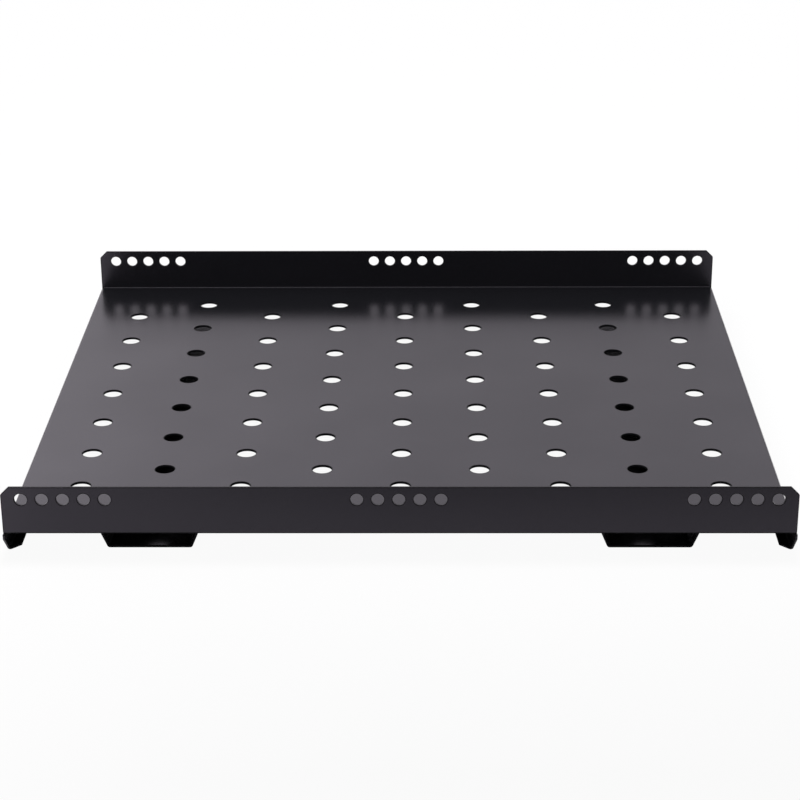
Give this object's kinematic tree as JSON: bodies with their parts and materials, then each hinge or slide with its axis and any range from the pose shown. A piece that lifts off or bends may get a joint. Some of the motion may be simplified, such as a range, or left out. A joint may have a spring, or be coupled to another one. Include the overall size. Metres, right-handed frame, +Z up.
{
  "type": "rack shelf",
  "caption": "Ventilated rack shelf of folded black sheet steel, with perforated flanges turned up at front and rear and hat stiffeners welded under its deck.",
  "frame": {"origin": "under the middle of the shelf, on the plane that its lips and stiffeners rest on", "axes": "+X along the perforated flanges, +Y from the front flange to the rear flange, +Z up"},
  "size_m": [0.475, 0.43, 0.0472],
  "materials": {
    "black_powder_coat": "smooth semi-gloss black powder coat on sheet steel"
  },
  "bodies": {
    "root": {"shelf_panel": "black_powder_coat", "stiffener_left": "black_powder_coat", "stiffener_right": "black_powder_coat"}
  },
  "joints": []
}
